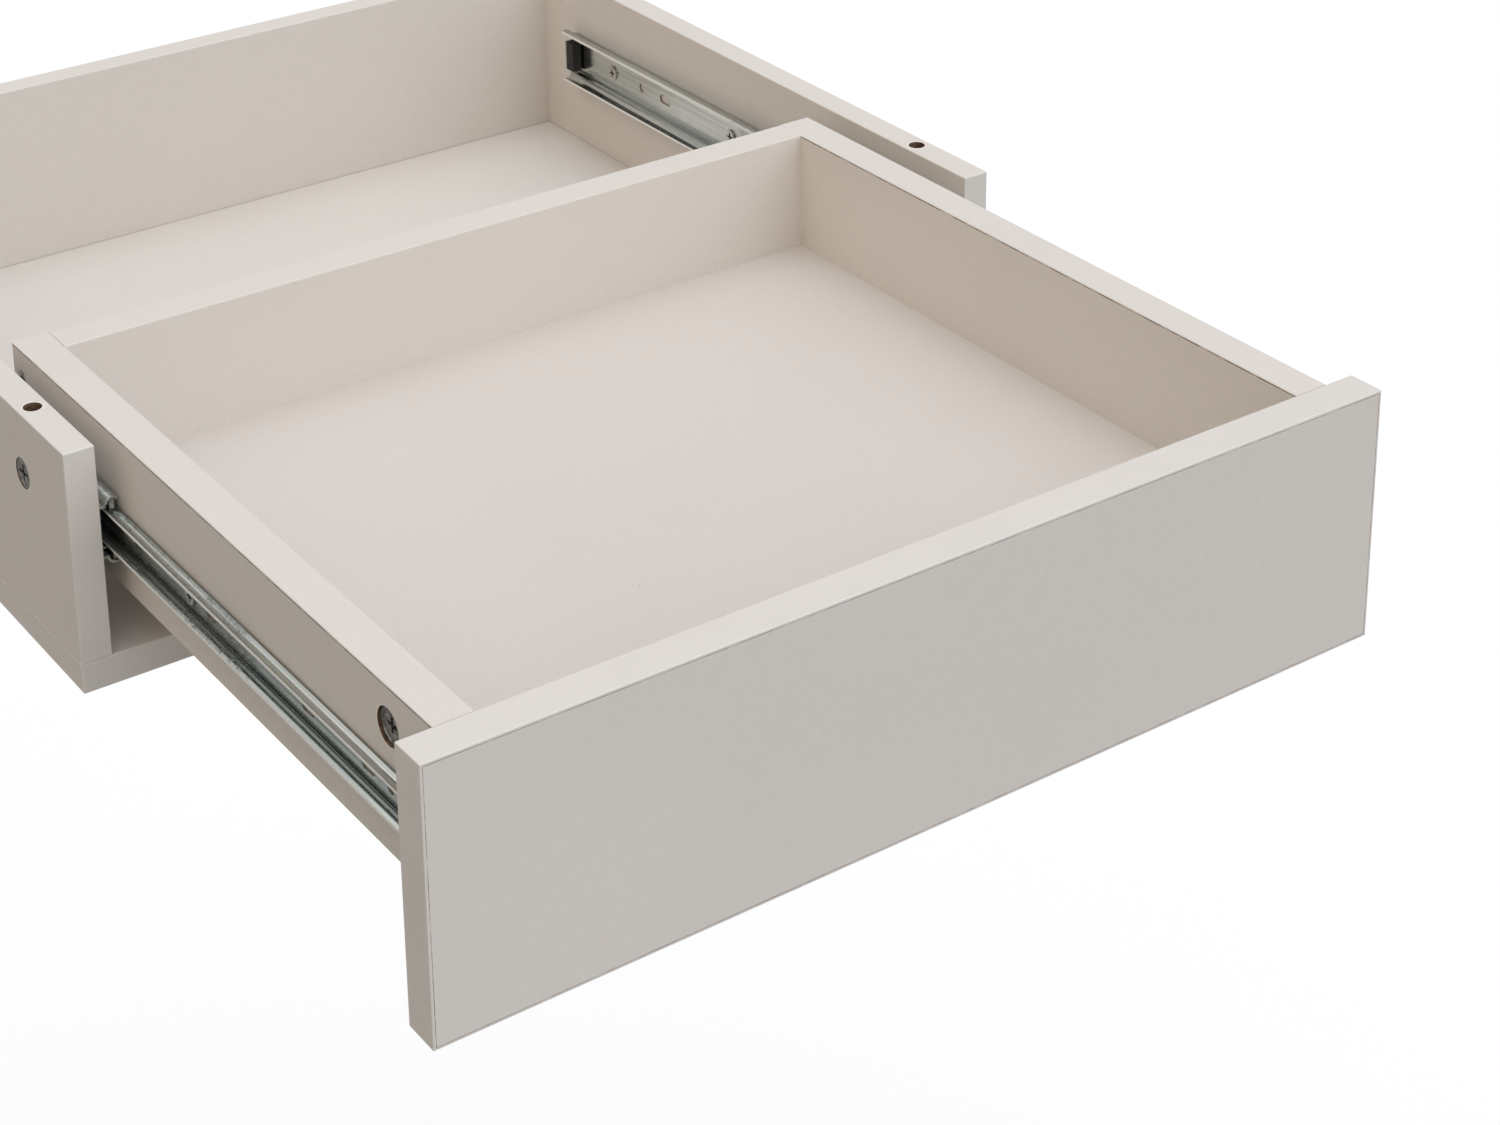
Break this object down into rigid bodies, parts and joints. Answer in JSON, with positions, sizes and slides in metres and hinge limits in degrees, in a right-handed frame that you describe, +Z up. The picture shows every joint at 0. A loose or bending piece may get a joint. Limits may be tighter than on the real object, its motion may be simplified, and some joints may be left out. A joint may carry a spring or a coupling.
{
  "type": "under desk drawer",
  "caption": "Shallow slab-front drawer on ball bearing slides, in an open-topped housing that fastens up under a desk top.",
  "frame": {"origin": "centre of the fixing holes in the housing's top plane, which is the desk's underside", "axes": "+X to the right, +Y towards the back of the desk, +Z up; the drawer opens along -Y and is drawn open"},
  "size_m": [0.418, 0.579, 0.104],
  "materials": {
    "front_board": "matte warm greige foil on board",
    "drawer_board": "matte warm greige foil on board",
    "drawer_floor": "matte warm greige foil on fibreboard",
    "housing_board": "matte warm greige foil on board",
    "edge_band": "matte greige edge band",
    "zinc_steel": "bright zinc plated, lightly oiled",
    "zinc_cam": "die cast zinc",
    "ball_steel": "polished",
    "buffer_rubber": "black moulded rubber",
    "dowel_wood": "plain beech"
  },
  "bodies": {
    "housing": {"left_panel": "housing_board", "right_panel": "housing_board", "bottom_board": "housing_board", "back_board": "housing_board", "housing_edge_bands": "edge_band", "bottom_board_screws": "zinc_steel", "back_board_screws": "zinc_steel", "mounting_cams": "zinc_cam", "cabinet_rail_left": "zinc_steel", "cabinet_rail_right": "zinc_steel", "cabinet_rail_screws": "zinc_steel", "rail_buffers": "buffer_rubber"},
    "drawer": {"drawer_front": "front_board", "front_edge_bands": "edge_band", "drawer_left_side": "drawer_board", "drawer_right_side": "drawer_board", "drawer_back": "drawer_board", "drawer_bottom": "drawer_floor", "front_cams": "zinc_cam", "front_cam_bolts": "zinc_steel", "front_dowels": "dowel_wood", "drawer_back_screws": "zinc_steel", "drawer_rail_left": "zinc_steel", "drawer_rail_right": "zinc_steel", "drawer_rail_screws": "zinc_steel"},
    "cage_left": {"ball_cage_left": "zinc_steel", "balls_left": "ball_steel"},
    "cage_right": {"ball_cage_right": "zinc_steel", "balls_right": "ball_steel"}
  },
  "joints": [
    {"name": "drawer_slide", "type": "slide", "parent": "housing", "child": "drawer", "axis": [0, -1, 0], "range_m": [-0.2185, 0.0035]},
    {"name": "cage_left_roll", "type": "slide", "parent": "housing", "child": "cage_left", "axis": [0, -1, 0], "range_m": [-0.10925, 0.00175]},
    {"name": "cage_right_roll", "type": "slide", "parent": "housing", "child": "cage_right", "axis": [0, -1, 0], "range_m": [-0.10925, 0.00175]}
  ],
  "couplings": [
    {"joint": "cage_left_roll", "follows": "drawer_slide", "ratio": 0.5},
    {"joint": "cage_right_roll", "follows": "drawer_slide", "ratio": 0.5}
  ]
}
